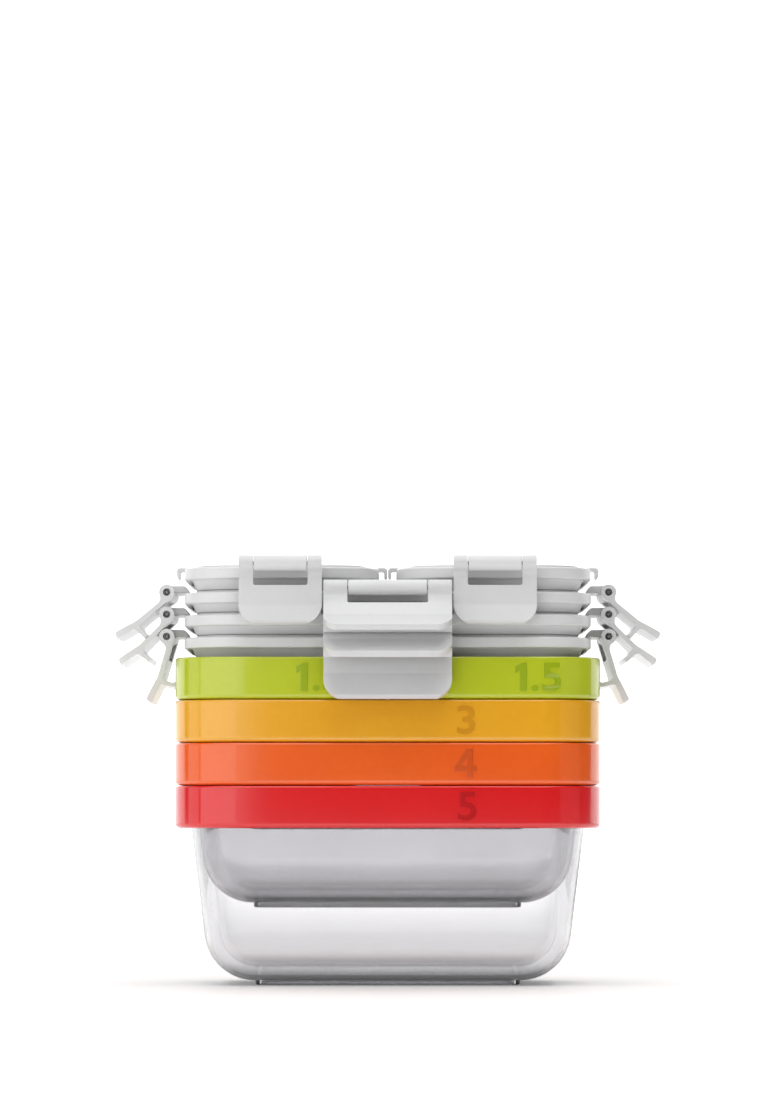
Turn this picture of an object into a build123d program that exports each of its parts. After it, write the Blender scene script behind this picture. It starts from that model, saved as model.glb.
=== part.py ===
from build123d import *
import os
from math import atan2, cos, degrees, radians, sin

os.makedirs("parts", exist_ok=True)

# Nested set of snap-lid food containers. Millimetres, +Z up, the front is -Y.
# Origin: centre of the set on the surface it stands on.

# ---------------------------------------------------------------- driving dimensions
RIM_W, RIM_D = 176.0, 132.0  # outer width and depth of a full rim
RIM_R = 26.0  # plan corner radius of a rim
RIM_H = 17.4  # height of a rim
RIM_PITCH = 17.65  # height from one nested rim to the next
RIM_BASE_Z = 65.0  # underside of the lowest rim
RIM_WALL = 2.6  # outer wall of the rim's channel section
LIP = 3.3  # width of the lip round the lid's seat
SEAT_DEPTH = 5.7  # depth of the lid's seat below the lip
LEDGE_T = 2.0  # thickness of the ledge under the seat
RETURN_T = 3.0  # thickness of the inward return that the latches catch under
CATCH_IN, CATCH_OUT, CATCH_D = 5.3, 3.8, 0.9  # groove for the latch's barb
HALF_GAP = 0.3  # half of the gap between the two half-width containers

WALL = 2.0  # wall and floor of a tub
SLOPE = 0.1256  # taper of a tub's walls, inward per unit of height
FOOT_H = 2.0  # height of the ring a tub stands on
FOOT_W = 2.6  # width of that ring
BOTTOM_R = 21.0  # outer fillet round a tub's floor
BOTTOM_SETBACK = 18.5  # what that fillet takes off the flat of the floor
COLLAR_IN = 4.8  # inset of the tub's collar from the rim's outer face
BODY_R = 28.0  # plan corner radius of the widest tub where it meets its rim

LID_HW, LID_HD = 84.3, 62.3  # half width and half depth of a full lid
LID_R = 22.2  # plan corner radius of a lid
BEAD_H = 0.95  # stacking bead on a lid's top
BEAD_OUT, BEAD_IN = 5.3, 8.3  # its outer and inner inset from the lid's edge
PLUG_TOP, PLUG_BOT = 3.4, 5.0  # inset of the plug under the flange, top and bottom
PLUG_WALL = 2.0
GROOVE_OUT, GROOVE_IN, GROOVE_D = 1.3, 2.9, 1.5  # gasket groove in the flange
GASKET_PROUD = 0.3
STACK_GAP = 0.1  # clearance between stacked pieces
FULL_FLANGE, FULL_PLUG = 4.5, 3.7
HALF_FLANGE, HALF_PLUG = 4.8, 4.4
HALF_LID_IN = 3.65  # inner edge of a half-width lid

PIN_OUT = 8.0  # from a lid's edge out to the hinge pin
PIN_UP, HALF_PIN_UP = 1.3, 1.1  # from a lid's top up to the pin
BOSS_R = 3.2
PIN_R = 0.75
BORE_R = 0.8  # running fit of the flap on the pin
CBORE_R, CBORE_D = 1.55, 4.0  # recess round the pin's end
PIN_INSET = 1.6  # from a flap's side face in to the pin's end
PIN_CHAMFER = 0.2
FLAP_W, FLAP_WIN = 52.5, 33.0  # width of a full flap and of its window
HALF_FLAP_W, HALF_FLAP_WIN = 34.0, 22.4
FLAP_LEN, HALF_FLAP_LEN = 28.7, 25.7  # from the pin to the tip of the tab
SIDE_PLAY = 0.3  # between the lid's tongue and the flap's bosses
HALF_LATCH_X = 44.0  # where a half-width lid's latches sit

# How far each full flap hangs out from upright, lowest lid first.
SIDE_ANGLES = (16.5, 45.5, 50.5)
FRONT_ANGLES = (18.0, 48.5, 53.0)

# ---------------------------------------------------------------- helpers


def block(x0, x1, hy, r, z0, z1):
    """Upright block, x0 to x1 and -hy to hy, with rounded vertical corners."""
    plan = Pos((x0 + x1) / 2, 0, z0) * RectangleRounded(x1 - x0, 2 * hy, r)
    return extrude(plan, z1 - z0)


def inset_block(plan, d, z0, z1, r_min=3.0):
    """The same plan drawn in by d all round."""
    x0, x1, hy, r = plan
    return block(x0 + d, x1 - d, hy - d, max(r - d, r_min), z0, z1)


def tapered(plan, z_top, z_bot):
    """Body that narrows downwards from the plan at z_top, with conical corners."""
    x0, x1, hy, r = plan
    s = (z_top - z_bot) * SLOPE
    top = Pos((x0 + x1) / 2, 0, z_top) * RectangleRounded(x1 - x0, 2 * hy, r)
    bot = Pos((x0 + x1) / 2, 0, z_bot) * RectangleRounded(
        x1 - x0 - 2 * s, 2 * (hy - s), r - s
    )
    return loft([bot.face(), top.face()], ruled=True)


def save(name, shape):
    export_step(shape, f"parts/{name}.step")


def bottom_edges(shape, z):
    return shape.edges().filter_by(lambda e: abs(e.center().Z - z) < 1e-3)


# ---------------------------------------------------------------- tubs and rims


def tub_and_rim(x0, x1, rim_z, foot_z, inset_out, inset_in=None):
    """A clear tub and the coloured rim moulded round its top."""
    inset_in = inset_out if inset_in is None else inset_in
    hy = RIM_D / 2
    rim_plan = (x0, x1, hy, RIM_R)
    # a half-width tub is inset less on its inner side
    left = inset_in if x0 > 0 else inset_out
    right = inset_in if x1 < 0 else inset_out
    r_body = BODY_R - (inset_out - 6.35)
    at_rim = (x0 + left, x1 - right, hy - inset_out, r_body)

    ledge_z = rim_z + RETURN_T
    seat_z = rim_z + RIM_H - SEAT_DEPTH
    top_z = ledge_z + WALL
    floor_z = foot_z + FOOT_H

    def at(z, extra):
        g = (z - rim_z) * SLOPE - extra
        a, b, h, r = at_rim
        return (a - g, b + g, h + g, r + g)

    outer = tapered(at(top_z, 0), top_z, floor_z)
    body = fillet(bottom_edges(outer, floor_z), BOTTOM_R)
    skin = WALL * 1.008
    cavity = tapered(at(top_z + 1, skin), top_z + 1, floor_z + WALL)
    cavity = fillet(bottom_edges(cavity, floor_z + WALL), BOTTOM_R - WALL)

    collar = inset_block(rim_plan, COLLAR_IN, ledge_z, seat_z)
    mouth = inset_block(rim_plan, COLLAR_IN + WALL, top_z, seat_z + 1)

    # the ring that the tub stands on, at the edge of the floor's flat part
    a, b, h, r = at(floor_z, 0)
    flat = (a + BOTTOM_SETBACK, b - BOTTOM_SETBACK, h - BOTTOM_SETBACK, 6.0)
    foot = inset_block(flat, 0.2, foot_z, floor_z + 0.5)
    foot = fillet(bottom_edges(foot, foot_z), 0.8)
    foot -= inset_block(flat, 0.2 + FOOT_W, foot_z - 1, floor_z)

    tub = body + collar + foot - cavity - mouth

    rim = block(*rim_plan, rim_z, rim_z + RIM_H)
    rim = fillet(bottom_edges(rim, rim_z), 2.0)
    rim = fillet(bottom_edges(rim, rim_z + RIM_H), 0.9)
    rim -= inset_block(rim_plan, LIP, seat_z, rim_z + RIM_H + 1)
    rim -= inset_block(rim_plan, COLLAR_IN, seat_z - LEDGE_T - 1, seat_z + 1)
    rim -= inset_block(rim_plan, RIM_WALL, ledge_z, seat_z - LEDGE_T)
    rim -= inset_block(rim_plan, CATCH_OUT, rim_z - 1, rim_z + CATCH_D) - inset_block(
        rim_plan, CATCH_IN, rim_z - 2, rim_z + CATCH_D + 1
    )
    rim -= tapered(at(top_z, 0), top_z, rim_z - 5)

    held = (
        inset_block(rim_plan, COLLAR_IN + WALL, top_z, seat_z).volume + cavity.volume
    ) / 1000
    return tub, rim, held


W2 = RIM_W / 2
CONTAINERS = {
    # name: x0, x1, rim's underside, foot, insets of the tub under the rim
    "5cup": (-W2, W2, RIM_BASE_Z, 0.0, 6.35),
    "4cup": (-W2, W2, RIM_BASE_Z + RIM_PITCH, 32.2, 7.6),
    "3cup": (-W2, W2, RIM_BASE_Z + 2 * RIM_PITCH, 64.7, 8.6),
    "half_left": (-W2, -HALF_GAP, RIM_BASE_Z + 3 * RIM_PITCH, 71.5, 9.4, 6.6),
    "half_right": (HALF_GAP, W2, RIM_BASE_Z + 3 * RIM_PITCH, 71.5, 9.4, 6.6),
}
for name, dims in CONTAINERS.items():
    tub, rim, held = tub_and_rim(*dims)
    save(f"tub_{name}", tub)
    save(f"rim_{name}", rim)
    print(name, "holds about", round(held), "ml to the lid's seat")

# ---------------------------------------------------------------- latch flaps


def flap(width, window, length):
    """Flap in its closed position with the pin along Y through the origin.
    Drawn as (outward, up): u runs down the arm, v runs towards the tub."""

    def p(u, v):
        return (-v, -u)

    tip = length
    outline = make_face(
        Polyline(
            p(0.0, 3.2),
            p(17.75, 3.2),
            p(17.75, 8.25),
            p(17.2, 8.6),
            p(17.3, 9.2),
            p(19.4, 9.2),
            p(19.8, 3.1),
            p(tip, 1.85),
            p(tip - 1.1, -1.0 + (28.7 - tip) * 0.2),
            p(17.3, 1.2),
            p(0.0, 1.2),
            close=True,
        )
    )

    def corner(shape, u, v, r):
        x, y = p(u, v)
        near = shape.vertices().sort_by_distance(Vector(x, y, 0))[0]
        return fillet(near, r)

    shape = outline + Circle(BOSS_R)
    shape = corner(shape, (BOSS_R**2 - 1.2**2) ** 0.5, 1.2, 3.0)
    shape = corner(shape, 17.75, 3.2, 1.3)
    shape = corner(shape, 19.8, 3.1, 1.6)
    shape = corner(shape, tip, 1.85, 0.9)
    shape = corner(shape, tip - 1.1, -1.0 + (28.7 - tip) * 0.2, 0.9)
    shape = corner(shape, 17.3, 1.2, 4.0)
    shape = corner(shape, 19.4, 9.2, 0.7)
    # stand the profile up in XZ and give it its width along Y
    solid = extrude(Plane.XZ * shape, width / 2, both=True)

    # rounded lower corners of the plate, and the window for the lid's tongue
    plan = Pos(0, 0, -length / 2 + 10) * Box(60, width, length + 20)
    plan = fillet(
        plan.edges().filter_by(Axis.X).group_by(Axis.Z)[0], 9.0 if width > 40 else 8.5
    )
    solid &= plan
    cut = Pos(0, 0, 0.5) * Box(20, window, 19)
    cut = fillet(cut.edges().filter_by(Axis.X).group_by(Axis.Z)[0], 1.0)
    solid -= cut

    solid -= Rot(90, 0, 0) * Cylinder(BORE_R, width + 2)
    for side in (-1, 1):
        solid -= Pos(0, side * (width / 2 - CBORE_D / 2 + 0.5), 0) * (
            Rot(90, 0, 0) * Cylinder(CBORE_R, CBORE_D + 1)
        )
    return solid


def tongue(width, pin_up):
    """The lid's arm and the barrel that holds the pin, pin along Y at the origin."""
    root_z = -pin_up - 0.5
    arm = make_face(
        Polyline(
            (-10.3, root_z),
            (-7.4, 3.05),
            (0, BOSS_R),
            (0, 0),
            (-7.6, 0.1),
            (-8.2, root_z),
            close=True,
        )
    )
    solid = extrude(Plane.XZ * (arm + Circle(BOSS_R)), width / 2, both=True)
    return solid - Rot(90, 0, 0) * Cylinder(PIN_R, width + 2)


def pin(width):
    rod = Cylinder(PIN_R, width - 2 * PIN_INSET)
    return Rot(90, 0, 0) * chamfer(rod.edges().filter_by(GeomType.CIRCLE), PIN_CHAMFER)


FULL_FLAP = flap(FLAP_W, FLAP_WIN, FLAP_LEN)
HALF_FLAP = flap(HALF_FLAP_W, HALF_FLAP_WIN, HALF_FLAP_LEN)
FULL_TONGUE = tongue(FLAP_WIN - 2 * SIDE_PLAY, PIN_UP)
HALF_TONGUE = tongue(HALF_FLAP_WIN - 2 * SIDE_PLAY, HALF_PIN_UP)

# a half-width lid's flap hangs with its centre of mass under the pin
c = HALF_FLAP.center(CenterOf.MASS)
HALF_ANGLE = degrees(atan2(-c.X, -c.Z))
print("half-width flaps hang at", round(HALF_ANGLE, 2), "degrees")

# side name: turn about Z that takes +X to the side's outward direction
TURN = {"right": 0, "back": 90, "left": 180, "front": 270}


def placed(piece, side, out, along, z, hang=0.0):
    """Put a latch piece on a side: 'out' from the middle, 'along' the edge."""
    turn = TURN[side]
    a = radians(turn)
    x, y = out * cos(a), out * sin(a)
    if side in ("front", "back"):
        x += along
    else:
        y += along
    return Pos(x, y, z) * (Rot(0, 0, turn) * (Rot(0, -hang, 0) * piece))


# ---------------------------------------------------------------- lids


def lid(x0, x1, top, flange, plug):
    plan = (x0, x1, LID_HD, LID_R)
    body = block(*plan, top - flange, top)
    body = fillet(bottom_edges(body, top), 0.9)
    body = fillet(bottom_edges(body, top - flange), 0.5)
    z0 = top - flange - plug

    def ring_plan(d):
        return (
            Pos((x0 + x1) / 2, 0, 0)
            * RectangleRounded(x1 - x0 - 2 * d, 2 * (LID_HD - d), LID_R - d)
        )

    under = loft(
        [
            (Pos(0, 0, z0) * ring_plan(PLUG_BOT)).face(),
            (Pos(0, 0, top - flange) * ring_plan(PLUG_TOP)).face(),
        ],
        ruled=True,
    )
    under = fillet(bottom_edges(under, z0), 0.5)
    body += under
    bead = inset_block(plan, BEAD_OUT, top - 0.5, top + BEAD_H)
    bead = fillet(bottom_edges(bead, top + BEAD_H), 0.4)
    body += bead
    body -= inset_block(plan, BEAD_IN, top - 2.0, top + BEAD_H + 1)
    body -= inset_block(plan, PLUG_BOT + PLUG_WALL, z0 - 1, top - 4.4)
    seal_z = top - flange
    body -= inset_block(plan, GROOVE_OUT, seal_z - 1, seal_z + GROOVE_D) - inset_block(
        plan, GROOVE_IN, seal_z - 2, seal_z + GROOVE_D + 1
    )
    gasket = inset_block(
        plan, GROOVE_OUT, seal_z - GASKET_PROUD, seal_z + GROOVE_D
    ) - inset_block(plan, GROOVE_IN, seal_z - 2, seal_z + GROOVE_D + 1)
    return body, gasket


def end_hook(reach):
    """Fixed down-turned clip on a half-width lid's end, edge at x 0, top at z 0."""
    outline = make_face(
        Polyline(
            (-2.6, -0.5),
            (-0.6, 2.0),
            (reach - 0.9, 2.0),
            (reach, 1.1),
            (reach - 0.1, -1.6),
            (reach - 0.9, -2.9),
            (reach - 1.35, -1.4),
            (reach - 1.35, 0.4),
            (reach - 1.75, 0.8),
            (-0.3, 0.8),
            (-0.9, -0.5),
            close=True,
        )
    )
    return extrude(Plane.XZ * outline, 8.0, both=True)


rim_top = RIM_BASE_Z + 3 * RIM_PITCH + RIM_H
lid_bottom = rim_top + STACK_GAP
LEVELS = {}
for i, level in enumerate("cba"):
    top = lid_bottom + FULL_FLANGE + FULL_PLUG
    LEVELS[level] = top
    body, gasket = lid(-LID_HW, LID_HW, top, FULL_FLANGE, FULL_PLUG)
    pin_z = top + PIN_UP
    pins = []
    for side in TURN:
        out = (LID_HW if side in ("left", "right") else LID_HD) + PIN_OUT
        hang = (SIDE_ANGLES if side in ("left", "right") else FRONT_ANGLES)[i]
        body += placed(FULL_TONGUE, side, out, 0, pin_z)
        pins.append(placed(pin(FLAP_W), side, out, 0, pin_z))
        save(f"latch_{level}_{side}", placed(FULL_FLAP, side, out, 0, pin_z, hang))
    save(f"lid_{level}", body)
    save(f"gasket_{level}", gasket)
    save(f"hinge_pins_{level}", Compound(pins))
    print("lid", level, "top", round(top, 3), "pins at z", round(pin_z, 3))
    lid_bottom = top + BEAD_H + STACK_GAP

top = lid_bottom + HALF_FLANGE + HALF_PLUG
for hand, sign in (("left", -1), ("right", 1)):
    x0, x1 = sorted((sign * HALF_LID_IN, sign * LID_HW))
    body, gasket = lid(x0, x1, top, HALF_FLANGE, HALF_PLUG)
    pin_z = top + HALF_PIN_UP
    pins = []
    for side in ("front", "back"):
        out = LID_HD + PIN_OUT
        along = sign * HALF_LATCH_X
        body += placed(HALF_TONGUE, side, out, along, pin_z)
        pins.append(placed(pin(HALF_FLAP_W), side, out, along, pin_z))
        save(
            f"latch_half_{hand}_{side}",
            placed(HALF_FLAP, side, out, along, pin_z, HALF_ANGLE),
        )
    outer = end_hook(4.5)
    inner = end_hook(3.5)
    if sign > 0:
        body += Pos(x1, 0, top) * outer
        body += Pos(x0, 0, top) * (Rot(0, 0, 180) * inner)
    else:
        body += Pos(x0, 0, top) * (Rot(0, 0, 180) * outer)
        body += Pos(x1, 0, top) * inner
    save(f"lid_half_{hand}", body)
    save(f"gasket_half_{hand}", gasket)
    save(f"hinge_pins_half_{hand}", Compound(pins))
print("half-width lids top", round(top, 3), "pins at z", round(pin_z, 3))
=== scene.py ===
import math

import bmesh
import bpy
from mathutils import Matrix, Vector


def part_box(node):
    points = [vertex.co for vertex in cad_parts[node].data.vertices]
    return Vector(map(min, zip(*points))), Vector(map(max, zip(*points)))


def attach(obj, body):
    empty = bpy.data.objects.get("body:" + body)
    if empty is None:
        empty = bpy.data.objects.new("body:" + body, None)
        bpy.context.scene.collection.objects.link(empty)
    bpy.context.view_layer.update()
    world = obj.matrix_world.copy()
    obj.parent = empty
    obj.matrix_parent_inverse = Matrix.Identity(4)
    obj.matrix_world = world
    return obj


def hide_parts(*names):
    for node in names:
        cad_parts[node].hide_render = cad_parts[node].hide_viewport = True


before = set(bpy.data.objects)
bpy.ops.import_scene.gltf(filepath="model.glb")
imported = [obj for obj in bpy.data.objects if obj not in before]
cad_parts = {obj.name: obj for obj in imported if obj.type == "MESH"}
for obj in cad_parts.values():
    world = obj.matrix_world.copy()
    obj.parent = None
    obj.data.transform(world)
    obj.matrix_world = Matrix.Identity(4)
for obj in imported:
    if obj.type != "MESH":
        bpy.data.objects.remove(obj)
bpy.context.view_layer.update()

MM = 0.001
SLOPE = 0.1256  # taper of the tubs' walls
RIM_H, SEAT, LEDGE, RETURN, WALL = 17.4, 5.7, 2.0, 3.0, 2.0
RIM_R, COLLAR, BODY_R, LID_R = 26.0, 4.8, 28.0, 22.2


def node_box(node):
    lo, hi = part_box(node)
    return [c / MM for c in lo], [c / MM for c in hi]


# ------------------------------------------------------------------ materials
def material(name):
    m = bpy.data.materials.new(name)
    m.use_nodes = True
    nt = m.node_tree
    bsdf = nt.nodes["Principled BSDF"]
    return m, nt, bsdf


def plastic(name, dark, light, rough, rough_var, coat, grain, grain_scale, streak, ior=1.5, coat_ior=1.5, level=0.5):
    """Moulded plastic: a cloudy colour drift, a fine surface grain, faint flow
    lines and hairline handling marks that only show in the gloss."""
    m, nt, bsdf = material(name)
    N, L = nt.nodes, nt.links
    coord = N.new("ShaderNodeTexCoord")
    # colour drift
    drift = N.new("ShaderNodeTexNoise")
    drift.inputs["Scale"].default_value = 22
    drift.inputs["Detail"].default_value = 3
    L.new(coord.outputs["Object"], drift.inputs["Vector"])
    fine = N.new("ShaderNodeTexNoise")
    fine.inputs["Scale"].default_value = 420
    fine.inputs["Detail"].default_value = 4
    L.new(coord.outputs["Object"], fine.inputs["Vector"])
    both = N.new("ShaderNodeMath")
    both.operation = "MULTIPLY_ADD"
    both.inputs[1].default_value = 0.35
    L.new(fine.outputs["Fac"], both.inputs[0])
    L.new(drift.outputs["Fac"], both.inputs[2])
    ramp = N.new("ShaderNodeValToRGB")
    ramp.color_ramp.elements[0].position = 0.35
    ramp.color_ramp.elements[1].position = 0.95
    ramp.color_ramp.elements[0].color = (*dark, 1)
    ramp.color_ramp.elements[1].color = (*light, 1)
    L.new(both.outputs[0], ramp.inputs["Fac"])
    L.new(ramp.outputs["Color"], bsdf.inputs["Base Color"])
    # hairlines, stretched along X
    stretch = N.new("ShaderNodeMapping")
    stretch.inputs["Scale"].default_value = (150, 420, 420)
    stretch.inputs["Rotation"].default_value = (0.1, 0.35, 0.2)
    L.new(coord.outputs["Object"], stretch.inputs["Vector"])
    hair = N.new("ShaderNodeTexNoise")
    hair.inputs["Scale"].default_value = 1.0
    hair.inputs["Detail"].default_value = 2
    L.new(stretch.outputs["Vector"], hair.inputs["Vector"])
    rr = N.new("ShaderNodeMapRange")
    rr.inputs["From Min"].default_value = 0.3
    rr.inputs["From Max"].default_value = 0.75
    rr.inputs["To Min"].default_value = rough - rough_var
    rr.inputs["To Max"].default_value = rough + rough_var
    L.new(hair.outputs["Fac"], rr.inputs["Value"])
    L.new(rr.outputs["Result"], bsdf.inputs["Roughness"])
    # grain and flow lines in the bump
    g = N.new("ShaderNodeTexNoise")
    g.inputs["Scale"].default_value = grain_scale
    g.inputs["Detail"].default_value = 3
    L.new(coord.outputs["Object"], g.inputs["Vector"])
    flow = N.new("ShaderNodeTexNoise")
    flow.inputs["Scale"].default_value = 45
    flow.inputs["Detail"].default_value = 1
    L.new(coord.outputs["Object"], flow.inputs["Vector"])
    mix = N.new("ShaderNodeMath")
    mix.operation = "MULTIPLY_ADD"
    mix.inputs[1].default_value = streak
    L.new(flow.outputs["Fac"], mix.inputs[0])
    L.new(g.outputs["Fac"], mix.inputs[2])
    bump = N.new("ShaderNodeBump")
    bump.inputs["Strength"].default_value = grain
    bump.inputs["Distance"].default_value = 0.0002
    L.new(mix.outputs[0], bump.inputs["Height"])
    L.new(bump.outputs["Normal"], bsdf.inputs["Normal"])
    bsdf.inputs["IOR"].default_value = ior
    bsdf.inputs["Coat Weight"].default_value = coat
    bsdf.inputs["Coat Roughness"].default_value = 0.10
    bsdf.inputs["Coat IOR"].default_value = coat_ior
    bsdf.inputs["Specular IOR Level"].default_value = level
    return m


WHITE = plastic("white_plastic", (0.735, 0.737, 0.742), (0.79, 0.79, 0.793), 0.34, 0.008, 0.25, 0.04, 1500, 0.2)
LATCH = plastic("white_latch_plastic", (0.68, 0.682, 0.686), (0.74, 0.74, 0.743), 0.30, 0.008, 0.3, 0.03, 1500, 0.2)
RED = plastic("red_plastic", (0.76, 0.0045, 0.0075), (0.84, 0.0075, 0.0115), 0.30, 0.010, 1.0, 0.04, 1300, 0.2, 1.45, 1.75, 0.12)
ORANGE = plastic("orange_plastic", (0.90, 0.108, 0.006), (0.97, 0.14, 0.009), 0.30, 0.010, 1.0, 0.04, 1300, 0.2, 1.45, 1.75, 0.12)
YELLOW = plastic("yellow_plastic", (0.86, 0.385, 0.010), (0.93, 0.45, 0.016), 0.30, 0.010, 1.0, 0.04, 1300, 0.2, 1.45, 1.75, 0.12)
GREEN = plastic("green_plastic", (0.49, 0.575, 0.014), (0.56, 0.65, 0.02), 0.30, 0.010, 1.0, 0.04, 1300, 0.2, 1.45, 1.75, 0.12)
SEAL = plastic("silicone_seal", (0.62, 0.62, 0.61), (0.70, 0.70, 0.69), 0.6, 0.08, 0.0, 0.2, 900, 0.5, 1.41)


def clear_plastic_with_painted_shade(label, foot_z):
    """Clear plastic, darker round the floor, where the shadow under the tub is seen through its depth: painted shade.
    """
    m, nt, bsdf = material(f"clear_plastic_with_painted_shade_{label}")
    N, L = nt.nodes, nt.links
    coord = N.new("ShaderNodeTexCoord")
    drift = N.new("ShaderNodeTexNoise")
    drift.inputs["Scale"].default_value = 30
    drift.inputs["Detail"].default_value = 2
    L.new(coord.outputs["Object"], drift.inputs["Vector"])
    ramp = N.new("ShaderNodeValToRGB")
    ramp.color_ramp.elements[0].color = (0.795, 0.79, 0.80, 1)
    ramp.color_ramp.elements[1].color = (0.825, 0.82, 0.83, 1)
    L.new(drift.outputs["Fac"], ramp.inputs["Fac"])
    # painted shade: the colour blends to dark grey (0.42) from 1.8 mm to 10.5 mm above the foot, standing in for the
    # shadow under the tub
    split = N.new("ShaderNodeSeparateXYZ")
    L.new(coord.outputs["Object"], split.inputs["Vector"])
    up = N.new("ShaderNodeMapRange")
    up.interpolation_type = "SMOOTHSTEP"
    up.inputs["From Min"].default_value = (foot_z + 1.8) * MM
    up.inputs["From Max"].default_value = (foot_z + 10.5) * MM
    L.new(split.outputs["Z"], up.inputs["Value"])
    mix = N.new("ShaderNodeMix")
    mix.data_type = "RGBA"
    mix.inputs[6].default_value = (0.42, 0.42, 0.43, 1)
    L.new(up.outputs["Result"], mix.inputs[0])
    L.new(ramp.outputs["Color"], mix.inputs[7])
    L.new(mix.outputs[2], bsdf.inputs["Base Color"])
    rr = N.new("ShaderNodeMapRange")
    rr.inputs["To Min"].default_value = 0.015
    rr.inputs["To Max"].default_value = 0.05
    L.new(drift.outputs["Fac"], rr.inputs["Value"])
    L.new(rr.outputs["Result"], bsdf.inputs["Roughness"])
    wave = N.new("ShaderNodeTexNoise")
    wave.inputs["Scale"].default_value = 38
    wave.inputs["Detail"].default_value = 1
    L.new(coord.outputs["Object"], wave.inputs["Vector"])
    bump = N.new("ShaderNodeBump")
    bump.inputs["Strength"].default_value = 0.04
    bump.inputs["Distance"].default_value = 0.0005
    L.new(wave.outputs["Fac"], bump.inputs["Height"])
    L.new(bump.outputs["Normal"], bsdf.inputs["Normal"])
    bsdf.inputs["IOR"].default_value = 1.46
    bsdf.inputs["Transmission Weight"].default_value = 1.0
    return m


def steel():
    m, nt, bsdf = material("drawn_steel")
    N, L = nt.nodes, nt.links
    coord = N.new("ShaderNodeTexCoord")
    n = N.new("ShaderNodeTexNoise")
    n.inputs["Scale"].default_value = 1800
    L.new(coord.outputs["Object"], n.inputs["Vector"])
    ramp = N.new("ShaderNodeValToRGB")
    ramp.color_ramp.elements[0].color = (0.16, 0.16, 0.17, 1)
    ramp.color_ramp.elements[1].color = (0.34, 0.34, 0.35, 1)
    L.new(n.outputs["Fac"], ramp.inputs["Fac"])
    L.new(ramp.outputs["Color"], bsdf.inputs["Base Color"])
    rr = N.new("ShaderNodeMapRange")
    rr.inputs["To Min"].default_value = 0.25
    rr.inputs["To Max"].default_value = 0.45
    L.new(n.outputs["Fac"], rr.inputs["Value"])
    L.new(rr.outputs["Result"], bsdf.inputs["Roughness"])
    bsdf.inputs["Metallic"].default_value = 1.0
    return m


STEEL = steel()

# ------------------------------------------------------------------ mesh helpers
N_ARC, N_SX, N_SY = 14, 8, 6


def ring(x0, x1, hy, r, z):
    """One closed loop round a rounded rectangle, always the same point count."""
    pts = []
    corners = (
        (x1 - r, -hy + r, -90),
        (x1 - r, hy - r, 0),
        (x0 + r, hy - r, 90),
        (x0 + r, -hy + r, 180),
    )
    for k, (cx, cy, a0) in enumerate(corners):
        for i in range(N_ARC + 1):
            a = math.radians(a0 + 90 * i / N_ARC)
            pts.append((cx + r * math.cos(a), cy + r * math.sin(a), z))
        # the straight side to the next corner
        nx, ny, na = corners[(k + 1) % 4]
        a = math.radians(na)
        e = (nx + r * math.cos(a), ny + r * math.sin(a))
        s = pts[-1]
        n = N_SY if k in (0, 2) else N_SX
        for i in range(1, n):
            t = i / n
            pts.append((s[0] + (e[0] - s[0]) * t, s[1] + (e[1] - s[1]) * t, z))
    return pts


def rounded(path, closed, seg=4):
    """path: (plan, d, z, radius). Rounds the corners within one plan family."""
    out, n = [], len(path)
    for i, (plan, d, z, r) in enumerate(path):
        if r <= 0 or (not closed and i in (0, n - 1)):
            out.append((plan, d, z))
            continue
        _, d0, z0, _ = path[i - 1]
        _, d1, z1, _ = path[(i + 1) % n]
        c = Vector((d, z))
        a, b = (Vector((d0, z0)) - c).normalized(), (Vector((d1, z1)) - c).normalized()
        ang = a.angle(b)
        cut = r / math.tan(ang / 2)
        pa, pb = c + a * cut, c + b * cut
        centre = c + (a + b).normalized() * (r / math.sin(ang / 2))
        va, vb = pa - centre, pb - centre
        total = va.angle(vb)
        for k in range(seg + 1):
            t = k / seg
            w0 = math.sin((1 - t) * total) / math.sin(total)
            w1 = math.sin(t * total) / math.sin(total)
            q = centre + va * w0 + vb * w1
            out.append((plan, q.x, q.y))
    return out


def mesh_object(name, verts, faces, mat, body, nodes, sharp=35.0):
    me = bpy.data.meshes.new(name)
    me.from_pydata([(v[0] * MM, v[1] * MM, v[2] * MM) for v in verts], [], faces)
    return finish_mesh(name, me, mat, body, nodes, sharp)


def finish_mesh(name, me, mat, body, nodes, sharp=35.0):
    bm = bmesh.new()
    bm.from_mesh(me)
    bmesh.ops.recalc_face_normals(bm, faces=bm.faces)
    for f in bm.faces:
        f.smooth = True
    for e in bm.edges:
        if len(e.link_faces) == 2 and e.calc_face_angle(0) > math.radians(sharp):
            e.smooth = False
    bm.to_mesh(me)
    bm.free()
    me.materials.clear()
    me.materials.append(mat)
    o = bpy.data.objects.new(name, me)
    bpy.context.scene.collection.objects.link(o)
    weigh = o.modifiers.new("weigh", "WEIGHTED_NORMAL")
    weigh.mode = "FACE_AREA"
    weigh.weight = 80
    weigh.keep_sharp = True
    bpy.context.view_layer.update()
    done = bpy.data.meshes.new_from_object(o.evaluated_get(bpy.context.evaluated_depsgraph_get()))
    o.modifiers.clear()
    o.data = done
    bpy.data.meshes.remove(me)
    done.name = name
    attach(o, body)
    if nodes:
        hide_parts(*nodes)
    return o


def from_rings(name, rings, closed, mat, body, nodes, sharp=35.0):
    n = len(rings[0])
    verts = [p for r in rings for p in r]
    faces = []
    count = len(rings)
    for i in range(count if closed else count - 1):
        a, b = i * n, ((i + 1) % count) * n
        for k in range(n):
            k2 = (k + 1) % n
            faces.append((a + k, a + k2, b + k2, b + k))
    if not closed:
        faces.append(tuple(range(n - 1, -1, -1)))
        faces.append(tuple((count - 1) * n + k for k in range(n)))
    return mesh_object(name, verts, faces, mat, body, nodes, sharp)


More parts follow.
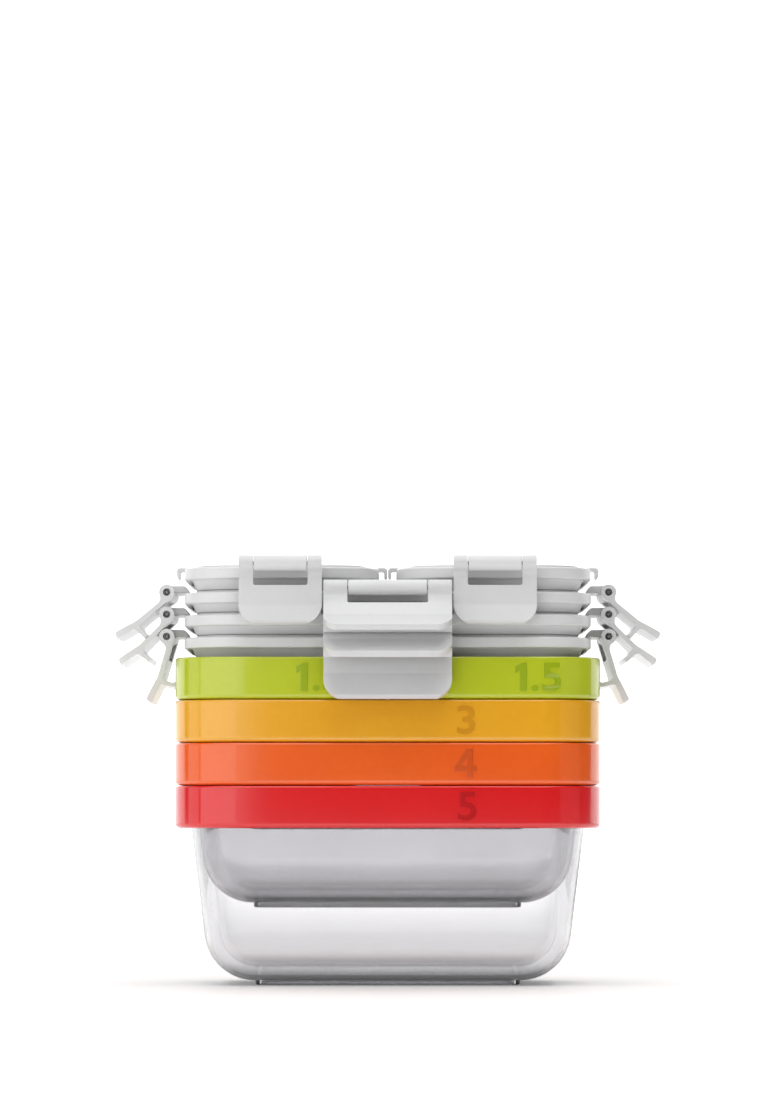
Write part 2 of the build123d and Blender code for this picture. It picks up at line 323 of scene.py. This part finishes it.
# ------------------------------------------------------------------ containers
INSETS = {"5cup": (6.35, 6.35), "4cup": (7.6, 7.6), "3cup": (8.6, 8.6), "half_left": (9.4, 6.6), "half_right": (9.4, 6.6)}
RIM_MAT = {"5cup": (RED, "rim_red"), "4cup": (ORANGE, "rim_orange"), "3cup": (YELLOW, "rim_yellow"), "half_left": (GREEN, "rim_green"), "half_right": (GREEN, "rim_green")}

for name, (ins, ins_in) in INSETS.items():
    lo, hi = node_box(f"rim_{name}")
    x0, x1, hy, rim_z = lo[0], hi[0], hi[1], lo[2]
    foot_z = node_box(f"tub_{name}")[0][2]
    left = ins_in if x0 > 0 else ins
    right = ins_in if x1 < 0 else ins
    r_body = BODY_R - (ins - 6.35)
    ledge_z, seat_z = rim_z + RETURN, rim_z + RIM_H - SEAT
    top_z, floor_z = ledge_z + WALL, foot_z + 2.0

    def rim_plan(d, z, x0=x0, x1=x1, hy=hy):
        return ring(x0 + d, x1 - d, hy - d, max(RIM_R - d, 1.0), z)

    def body_plan(d, z, x0=x0, x1=x1, hy=hy, left=left, right=right, ins=ins, r=r_body):
        return ring(x0 + left + d, x1 - right - d, hy - ins - d, max(r - d, 0.6), z)

    def drop(z, rim_z=rim_z):
        return (rim_z - z) * SLOPE

    # the rim: a channel section with a seat for the lid and a catch groove
    path = [
        (rim_plan, 0.0, rim_z, 2.0),
        (rim_plan, 0.0, rim_z + RIM_H, 0.9),
        (rim_plan, 3.3, rim_z + RIM_H, 0.5),
        (rim_plan, 3.3, seat_z, 0.3),
        (rim_plan, COLLAR + 0.02, seat_z, 0),
        (rim_plan, COLLAR - 0.02, seat_z - LEDGE, 0),
        (rim_plan, 2.6, seat_z - LEDGE, 0.4),
        (rim_plan, 2.6, ledge_z, 0.4),
        (body_plan, drop(ledge_z) - 0.02, ledge_z, 0),
        (body_plan, drop(rim_z) - 0.02, rim_z, 0),
        (rim_plan, 5.3, rim_z, 0),
        (rim_plan, 5.3, rim_z + 0.9, 0),
        (rim_plan, 3.8, rim_z + 0.9, 0),
        (rim_plan, 3.8, rim_z, 0),
    ]
    if name.startswith("half"):
        path[10] = (rim_plan, 5.6, rim_z, 0)
    pts = rounded(path, True, 5)
    mat, slot = RIM_MAT[name]
    from_rings(f"moulded_rim_{name}", [p(d, z) for p, d, z in pts], True, mat, f"container_{name}", [f"rim_{name}"])

    # the clear tub
    skin = WALL * 1.008
    d_out, d_in = drop(floor_z), drop(floor_z + WALL) + skin
    set_out = 18.5
    outer = rounded(
        [
            (body_plan, d_out + set_out + 0.6, floor_z, 0),
            (body_plan, d_out, floor_z, 21.0),
            (body_plan, drop(ledge_z), ledge_z, 0),
        ],
        False,
        22,
    )[1:]
    inner = rounded(
        [
            (body_plan, drop(top_z) + skin, top_z, 0),
            (body_plan, d_in, floor_z + WALL, 19.0),
            (body_plan, d_in + 18.0, floor_z + WALL, 0),
        ],
        False,
        22,
    )[:-1]
    fx0, fx1, fhy = x0 + left + d_out + 18.5, x1 - right - d_out - 18.5, hy - ins - d_out - 18.5

    def foot_plan(d, z, fx0=fx0, fx1=fx1, fhy=fhy):
        return ring(fx0 + d, fx1 - d, fhy - d, max(6.0 - d, 1.0), z)

    foot = rounded(
        [
            (foot_plan, 2.8, floor_z, 0),
            (foot_plan, 2.8, foot_z, 0.3),
            (foot_plan, 0.2, foot_z, 0.8),
            (foot_plan, 0.2, floor_z, 0),
        ],
        False,
        4,
    )
    rings = [p(d, z) for p, d, z in foot + outer]
    rings += [
        rim_plan(COLLAR + 0.03, ledge_z + 0.02),
        rim_plan(COLLAR + 0.03, seat_z - 0.02),
        rim_plan(COLLAR + WALL, seat_z - 0.02),
        rim_plan(COLLAR + WALL, top_z),
    ]
    rings += [p(d, z) for p, d, z in inner]
    from_rings(f"clear_tub_{name}", rings, False, clear_plastic_with_painted_shade(name, foot_z), f"container_{name}", [f"tub_{name}"], 50)

# ------------------------------------------------------------------ lids
PINS = {}  # lid: (pin height, [(side, along)])


def lid_shell(name, flange, plug):
    glo, ghi = node_box(f"gasket_{name}")
    x0, x1, hy = glo[0] - 1.3, ghi[0] + 1.3, ghi[1] + 1.3
    seal = ghi[2] - 1.5
    top, z0 = seal + flange, seal - plug

    def plan(d, z):
        return ring(x0 + d, x1 - d, hy - d, max(LID_R - d, 1.0), z)

    path = [
        (plan, 14.0, top - 2.0, 0),
        (plan, 8.3, top - 2.0, 0.7),
        (plan, 8.3, top + 0.95, 0.4),
        (plan, 5.3, top + 0.95, 0.4),
        (plan, 5.3, top, 0.35),
        (plan, 0.0, top, 0.9),
        (plan, 0.0, seal, 0.6),
        (plan, 1.3, seal, 0),
        (plan, 1.3, seal + 1.5, 0),
        (plan, 2.9, seal + 1.5, 0),
        (plan, 2.9, seal, 0),
        (plan, 3.4, seal, 0),
        (plan, 5.0, z0, 0.5),
        (plan, 7.0, z0, 0.4),
        (plan, 7.0, top - 4.4, 0.8),
        (plan, 13.0, top - 4.4, 0),
    ]
    pts = rounded(path, False, 4)
    from_rings(f"lid_shell_{name}", [p(d, z) for p, d, z in pts], False, WHITE, f"lid_{name}_body", [f"lid_{name}"], 40)
    # the seal in its groove
    seal_path = rounded(
        [
            (plan, 1.32, seal + 1.48, 0),
            (plan, 1.32, seal - 0.3, 0.25),
            (plan, 2.88, seal - 0.3, 0.25),
            (plan, 2.88, seal + 1.48, 0),
        ],
        True,
        3,
    )
    from_rings(f"seal_{name}", [p(d, z) for p, d, z in seal_path], True, SEAL, f"lid_{name}_body", [f"gasket_{name}"])
    return x0, x1, hy, top


TURN = {"right": 0, "back": 90, "left": 180, "front": 270}


def prism(points, half, bevel, seg=3):
    """bmesh of an outline in (outward, up), half wide each way along Y, with its
    end outlines rounded."""
    bm = bmesh.new()
    lo = [bm.verts.new((x, -half, z)) for x, z in points]
    hi = [bm.verts.new((x, half, z)) for x, z in points]
    n = len(points)
    bm.faces.new(lo)
    bm.faces.new(hi[::-1])
    for i in range(n):
        j = (i + 1) % n
        bm.faces.new((lo[j], lo[i], hi[i], hi[j]))
    bm.normal_update()
    bmesh.ops.recalc_face_normals(bm, faces=bm.faces)
    ends = [e for e in bm.edges if abs(abs(e.verts[0].co.y) - half) < 1e-6 and abs(e.verts[0].co.y - e.verts[1].co.y) < 1e-6]
    bmesh.ops.bevel(bm, geom=ends, offset=bevel, segments=seg, profile=0.5, affect="EDGES", clamp_overlap=True)
    return bm


def soften(points, radii, seg=4):
    """Rounds the corners of an outline: radii by index."""
    out, n = [], len(points)
    for i, p in enumerate(points):
        r = radii.get(i, 0)
        if r <= 0:
            out.append(p)
            continue
        c = Vector(p)
        a = (Vector(points[i - 1]) - c).normalized()
        b = (Vector(points[(i + 1) % n]) - c).normalized()
        ang = a.angle(b)
        cut = r / math.tan(ang / 2)
        centre = c + (a + b).normalized() * (r / math.sin(ang / 2))
        va, vb = c + a * cut - centre, c + b * cut - centre
        total = va.angle(vb)
        for k in range(seg + 1):
            t = k / seg
            w0, w1 = math.sin((1 - t) * total) / math.sin(total), math.sin(t * total) / math.sin(total)
            q = centre + va * w0 + vb * w1
            out.append((q.x, q.y))
    return out


def place_bmesh(bm, side, x, y, z):
    a = math.radians(TURN[side])
    ca, sa = math.cos(a), math.sin(a)
    for v in bm.verts:
        px, py, pz = v.co
        v.co = ((x + px * ca - py * sa) * MM, (y + px * sa + py * ca) * MM, (z + pz) * MM)


def tongue_outline(pin_up):
    root = -pin_up - 0.7
    pts = [(-10.5, root), (-7.4, 3.05), (-0.6, 3.15)]
    for k in range(0, 25):
        a = math.radians(96 - k * (96 + 178) / 24)
        pts.append((3.2 * math.cos(a), 3.2 * math.sin(a)))
    pts += [(-7.5, 0.1), (-8.25, -0.5), (-8.3, root)]
    return soften(pts, {1: 1.6}, 5)


def add_tongue(name, side, x, y, z, width, pin_up):
    bm = prism(tongue_outline(pin_up), width / 2, 0.45, 3)
    place_bmesh(bm, side, x, y, z)
    me = bpy.data.meshes.new(f"tongue_{name}_{side}")
    bm.to_mesh(me)
    bm.free()
    finish_mesh(f"tongue_{name}_{side}", me, WHITE, f"lid_{name}_body", [], 40)


for name in ("c", "b", "a"):
    x0, x1, hy, top = lid_shell(name, 4.5, 3.7)
    for side in TURN:
        out = (x1 if side in ("left", "right") else hy) + 8.0
        a = math.radians(TURN[side])
        add_tongue(name, side, out * math.cos(a), out * math.sin(a), top + 1.3, 32.4, 1.3)


def add_end_hook(name, label, x, top, turn, reach):
    pts = [
        (-2.6, -0.6),
        (-0.6, 2.0),
        (reach - 0.9, 2.0),
        (reach, 1.1),
        (reach - 0.1, -1.6),
        (reach - 0.9, -2.9),
        (reach - 1.35, -1.4),
        (reach - 1.35, 0.4),
        (reach - 1.75, 0.8),
        (-0.3, 0.8),
        (-0.9, -0.6),
    ]
    pts = soften(pts, {1: 0.5, 2: 0.3, 3: 0.3, 5: 0.15}, 3)
    bm = prism(pts, 8.0, 0.25, 2)
    place_bmesh(bm, turn, x, 0, top)
    me = bpy.data.meshes.new(f"end_hook_{name}_{label}")
    bm.to_mesh(me)
    bm.free()
    finish_mesh(f"end_hook_{name}_{label}", me, WHITE, f"lid_{name}_body", [], 40)


for hand, sign in (("left", -1), ("right", 1)):
    name = f"half_{hand}"
    x0, x1, hy, top = lid_shell(name, 4.8, 4.4)
    for side in ("front", "back"):
        sy = -1 if side == "front" else 1
        add_tongue(name, side, sign * 44.0, sy * (hy + 8.0), top + 1.1, 21.8, 1.1)
    outer_x, inner_x = (x1, x0) if sign > 0 else (x0, x1)
    add_end_hook(name, "outer", outer_x, top, "right" if sign > 0 else "left", 4.5)
    add_end_hook(name, "inner", inner_x, top, "left" if sign > 0 else "right", 3.5)

# ------------------------------------------------------------------ latches and pins
def refined(node, body, mat, bevel, seg=2, angle=32.0):
    """A copy of a CAD node with its flat faces merged and its edges rounded."""
    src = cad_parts[node]
    me = src.data.copy()
    me.name = f"moulded_{node}"
    bm = bmesh.new()
    bm.from_mesh(me)
    bmesh.ops.remove_doubles(bm, verts=bm.verts, dist=2e-6)
    bmesh.ops.dissolve_limit(bm, angle_limit=math.radians(0.6), verts=bm.verts, edges=bm.edges, delimit={"NORMAL"})
    sharp = [e for e in bm.edges if len(e.link_faces) == 2 and e.calc_face_angle(0) > math.radians(angle)]
    bmesh.ops.bevel(bm, geom=sharp, offset=bevel * MM, segments=seg, profile=0.5, affect="EDGES", clamp_overlap=True, miter_outer="ARC")
    bm.to_mesh(me)
    bm.free()
    return finish_mesh(f"moulded_{node}", me, mat, body, [node], 30)


for node in sorted(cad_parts):
    if node.startswith("latch_"):
        refined(node, node.replace("latch_", "flap_"), LATCH, 0.5, 3)
    elif node.startswith("hinge_pins_"):
        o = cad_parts[node]
        o.data.materials.clear()
        o.data.materials.append(STEEL)

# ------------------------------------------------------------------ capacity numerals
# painted shade: each figure takes a darker copy of its rim's plastic, so the raised figures stand out against the rim
FIGURE_PLASTIC_PAINTED_SHADE = {
    "rim_red": plastic("red_figures", (0.52, 0.004, 0.007), (0.60, 0.007, 0.010), 0.30, 0.010, 1.0, 0.04, 1300, 0.2, 1.45, 1.6, 0.12),
    "rim_orange": plastic("orange_figures", (0.66, 0.083, 0.007), (0.74, 0.11, 0.010), 0.30, 0.010, 1.0, 0.04, 1300, 0.2, 1.45, 1.6, 0.12),
    "rim_yellow": plastic("yellow_figures", (0.66, 0.27, 0.007), (0.73, 0.33, 0.011), 0.30, 0.010, 1.0, 0.04, 1300, 0.2, 1.45, 1.6, 0.12),
    "rim_green": plastic("green_figures", (0.32, 0.43, 0.009), (0.38, 0.50, 0.013), 0.30, 0.010, 1.0, 0.04, 1300, 0.2, 1.45, 1.6, 0.12),
}


def bend_onto_rim(bm, label, s_mid, z_mid, width, height, rim_name, proud=0.35):
    """Scales flat figures to their real size and lays them on a rim's front face,
    bent round its corner. s runs along the face from the middle."""
    lo, hi = node_box(f"rim_{rim_name}")
    x1, hy = hi[0], hi[1]
    xs = [v.co.x for v in bm.verts]
    ys = [v.co.y for v in bm.verts]
    kx, ky = width / (max(xs) - min(xs)), height / (max(ys) - min(ys))
    mx, my = (min(xs) + max(xs)) / 2, (min(ys) + max(ys)) / 2
    flat = x1 - RIM_R
    for v in bm.verts:
        s, h, d = s_mid + (v.co.x - mx) * kx, (v.co.y - my) * ky, v.co.z - 0.5 + proud
        if s <= flat:
            x, y = s, -hy - d
        else:
            a = (s - flat) / RIM_R
            x, y = flat + (RIM_R + d) * math.sin(a), -hy + RIM_R - (RIM_R + d) * math.cos(a)
        v.co = (x * MM, y * MM, (z_mid + h) * MM)
    me = bpy.data.meshes.new(f"capacity_figure_{label}")
    bm.to_mesh(me)
    bm.free()
    slot = RIM_MAT[rim_name][1]
    finish_mesh(f"capacity_figure_{label}", me, FIGURE_PLASTIC_PAINTED_SHADE[slot], f"container_{rim_name}", [], 30)


def font_figure(text):
    cu = bpy.data.curves.new("figure", "FONT")
    cu.body = text
    cu.size = 16.0
    cu.extrude = 0.5
    cu.offset = 0.22
    cu.resolution_u = 8
    tmp = bpy.data.objects.new("tmp", cu)
    bpy.context.scene.collection.objects.link(tmp)
    bpy.context.view_layer.update()
    me = bpy.data.meshes.new_from_object(tmp)
    bpy.data.objects.remove(tmp)
    bm = bmesh.new()
    bm.from_mesh(me)
    bmesh.ops.remove_doubles(bm, verts=bm.verts, dist=1e-4)
    return bm


def drawn_figure(points, faces):
    """A raised figure from plain faces, with a small rounded edge in front."""
    bm = bmesh.new()
    verts = [bm.verts.new((x, y, -0.5)) for x, y in points]
    flat = [bm.faces.new([verts[i] for i in f]) for f in faces]
    up = bmesh.ops.extrude_face_region(bm, geom=flat, use_keep_orig=True)
    for g in up["geom"]:
        if isinstance(g, bmesh.types.BMVert):
            g.co.z = 0.5
    bmesh.ops.recalc_face_normals(bm, faces=bm.faces)
    edges = [e for e in bm.edges if e.verts[0].co.z > 0 and e.verts[1].co.z > 0 and len(e.link_faces) == 2 and e.calc_face_angle(0) > 1.0]
    bmesh.ops.bevel(bm, geom=edges, offset=0.15, segments=2, profile=0.5, affect="EDGES", clamp_overlap=True)
    return bm


ONE = ([(1.8, 0.0), (4.7, 0.0), (4.7, 11.6), (2.9, 11.6), (0.0, 9.9), (0.0, 7.4), (1.8, 8.4)], [range(7)])
FOUR = (
    [
        (4.8, 11.6), (7.4, 11.6), (7.4, 4.6), (9.0, 4.6), (9.0, 2.4), (7.4, 2.4), (7.4, 0.0),
        (5.0, 0.0), (5.0, 2.4), (0.0, 2.4), (0.0, 4.3), (2.6, 4.6), (5.0, 4.6), (5.0, 8.3),
    ],
    [(10, 11, 13, 0), (0, 13, 12, 2, 1), (10, 9, 8, 12, 11), (8, 5, 2, 12), (5, 4, 3, 2), (7, 6, 5, 8)],
)

for rim_name, text, label, s_mid, width in (
    ("5cup", "5", "five", 32.5, 7.7),
    ("4cup", "4", "four", 31.9, 9.0),
    ("3cup", "3", "three", 32.1, 7.4),
    ("half_left", ".5", "half_left", -37.5 + 6.7 + 6.1, 12.2),
    ("half_right", ".5", "half_right", 52.3 + 6.7 + 6.1, 12.2),
):
    lo, hi = node_box(f"rim_{rim_name}")
    z_mid = (lo[2] + hi[2]) / 2 + 0.3
    figure = drawn_figure(*FOUR) if text == "4" else font_figure(text)
    bend_onto_rim(figure, label, s_mid, z_mid, width, 11.6, rim_name)
    if text == ".5":
        bend_onto_rim(drawn_figure(*ONE), f"{label}_one", s_mid - 6.1 - 6.7 + 2.35, z_mid, 4.7, 11.6, rim_name)

# ------------------------------------------------------------------ floor and backdrop
def stage():
    bm = bmesh.new()
    profile = [(-6.0, 0.0), (3.0, 0.0)]
    r = 1.0
    for k in range(1, 17):
        a = math.radians(90 * k / 16)
        profile.append((3.0 + r * math.sin(a), r - r * math.cos(a)))
    profile.append((4.0, 7.0))
    cols = [[bm.verts.new((x, y, z)) for y, z in profile] for x in (-8, 8)]
    for i in range(len(profile) - 1):
        f = bm.faces.new((cols[0][i], cols[1][i], cols[1][i + 1], cols[0][i + 1]))
        f.smooth = True
    me = bpy.data.meshes.new("floor")
    bm.to_mesh(me)
    bm.free()
    m, nt, bsdf = material("pale_floor")
    N, L = nt.nodes, nt.links
    bsdf.inputs["Base Color"].default_value = (0.93, 0.93, 0.93, 1)
    bsdf.inputs["Roughness"].default_value = 0.6
    # painted light: the floor and backdrop glow, weakly near the objects and almost white at the back, and this glow
    # also lights the objects
    bsdf.inputs["Emission Color"].default_value = (1, 1, 1, 1)
    coord = N.new("ShaderNodeTexCoord")
    split = N.new("ShaderNodeSeparateXYZ")
    L.new(coord.outputs["Object"], split.inputs["Vector"])
    floor_glow = N.new("ShaderNodeMapRange")
    floor_glow.interpolation_type = "SMOOTHSTEP"
    floor_glow.inputs["From Min"].default_value = 0.15
    floor_glow.inputs["From Max"].default_value = 2.6
    floor_glow.inputs["To Min"].default_value = 0.17
    floor_glow.inputs["To Max"].default_value = 0.95
    L.new(split.outputs["Y"], floor_glow.inputs["Value"])
    L.new(floor_glow.outputs["Result"], bsdf.inputs["Emission Strength"])
    me.materials.append(m)
    o = bpy.data.objects.new("floor", me)
    bpy.context.scene.collection.objects.link(o)


stage()


def area(name, loc, target, size, power, color=(1, 1, 1), size_y=None):
    d = bpy.data.lights.new(name, "AREA")
    d.energy = power
    d.color = color
    d.shape = "RECTANGLE"
    d.size = size
    d.size_y = size_y or size
    o = bpy.data.objects.new(name, d)
    o.location = loc
    o.rotation_euler = (Vector(target) - Vector(loc)).to_track_quat("-Z", "Y").to_euler()
    bpy.context.scene.collection.objects.link(o)
    return o


area("top_softbox", (0.0, -0.1, 1.35), (0, 0, 0.1), 1.6, 14)
area("key_softbox", (0.15, -1.4, 1.5), (0, 0, 0.1), 1.2, 6)
area("left_softbox", (-1.1, -1.45, 0.6), (0, 0, 0.3), 2.52, 11.5, size_y=1.2)
area("left_side_softbox", (-2.05, -0.1, 0.6), (0, 0, 0.3), 1.0, 3.0, size_y=1.2)
area("right_fill", (1.6, -0.9, 0.6), (0, 0, 0.3), 1.4, 0.8, size_y=1.2)

world = bpy.data.worlds.new("studio")
world.use_nodes = True
world.node_tree.nodes["Background"].inputs["Color"].default_value = (1, 1, 1, 1)
world.node_tree.nodes["Background"].inputs["Strength"].default_value = 0.05
bpy.context.scene.world = world

# ------------------------------------------------------------------ camera
cam = bpy.data.cameras.new("camera")
cam.sensor_width = 36.0
cam.lens = 177.2
cam.clip_start = 0.05
cam.clip_end = 50
cam_o = bpy.data.objects.new("camera", cam)
bpy.context.scene.collection.objects.link(cam_o)
cam_o.location = (0.0, -2.285, 0.065)
aim = Vector((-0.00283, 0.0, 0.1824))
cam_o.rotation_euler = (aim - cam_o.location).to_track_quat("-Z", "Y").to_euler()
bpy.context.scene.camera = cam_o
bpy.context.scene.view_settings.view_transform = "Standard"
